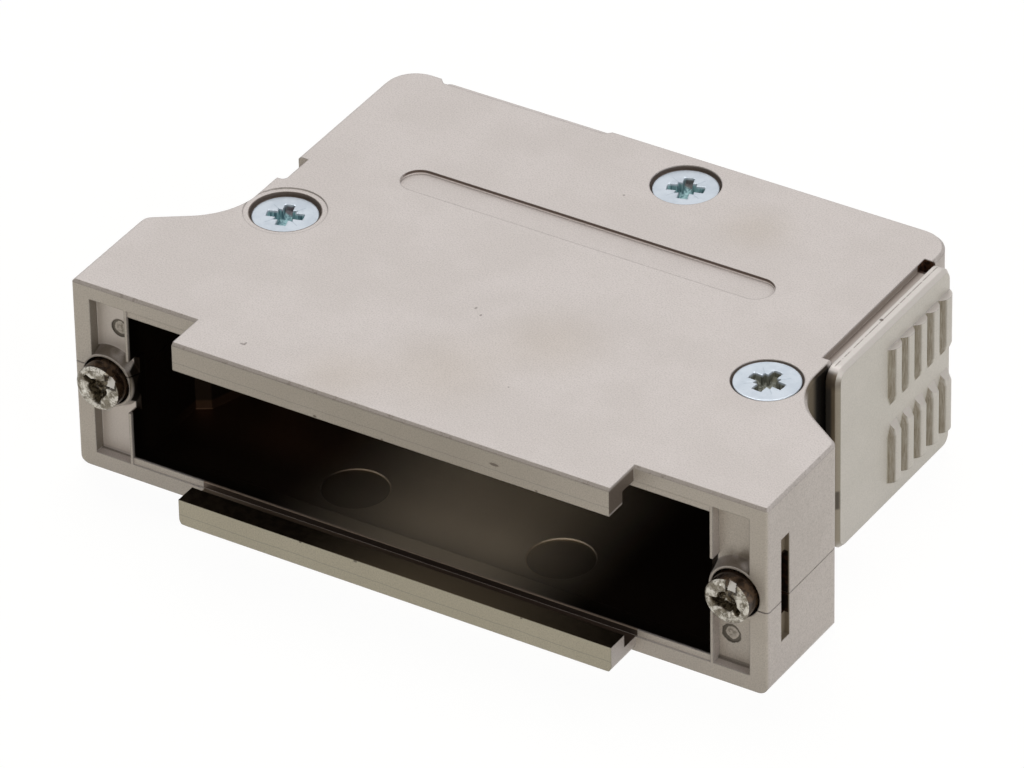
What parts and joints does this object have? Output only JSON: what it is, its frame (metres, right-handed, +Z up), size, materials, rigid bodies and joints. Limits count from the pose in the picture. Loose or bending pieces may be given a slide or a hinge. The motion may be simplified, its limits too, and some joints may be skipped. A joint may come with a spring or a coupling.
{
  "type": "d-sub hood",
  "caption": "Flat metal hood for a D-sub connector: two screwed casting halves, an open mouth between lips and ears with flange screws, a ribbed side cover and a cable outlet at the rear.",
  "frame": {"origin": "on the bottom face, midway between the ears, in the plane of the ears' front faces", "axes": "+X across the ears to the ribbed cover's side, +Y back to the rear wall, +Z up out of the roof with the screw heads"},
  "size_m": [0.0672, 0.0472, 0.0184],
  "materials": {
    "casting": "satin plated zinc casting, light warm grey",
    "inserts": "satin plated zinc casting, light warm grey",
    "zinc_steel": "bright zinc-plated steel with a blue tint",
    "nickel_steel": "bright nickel-plated steel",
    "dark_steel": "dark oxide steel",
    "clamp_steel": "plain plated sheet steel"
  },
  "bodies": {
    "hood": {"bottom_shell": "casting", "top_shell": "casting", "shell_screw_left": "zinc_steel", "shell_screw_right": "zinc_steel", "shell_screw_rear": "zinc_steel", "nut_plate_left": "dark_steel", "nut_plate_right": "dark_steel", "side_entry_cover": "inserts", "cable_entry_insert": "inserts", "cable_clamp_bar": "clamp_steel", "clamp_screw_left": "zinc_steel", "clamp_screw_right": "zinc_steel"},
    "left_screw": {"flange_screw_left": "nickel_steel"},
    "right_screw": {"flange_screw_right": "nickel_steel"}
  },
  "joints": [
    {"name": "flange_screw_left_turn", "type": "hinge", "parent": "hood", "child": "left_screw", "pos_m": [-0.03055, 0, 0.0092], "axis": [0, -1, 0], "continuous": true},
    {"name": "flange_screw_right_turn", "type": "hinge", "parent": "hood", "child": "right_screw", "pos_m": [0.03055, 0, 0.0092], "axis": [0, -1, 0], "continuous": true}
  ]
}
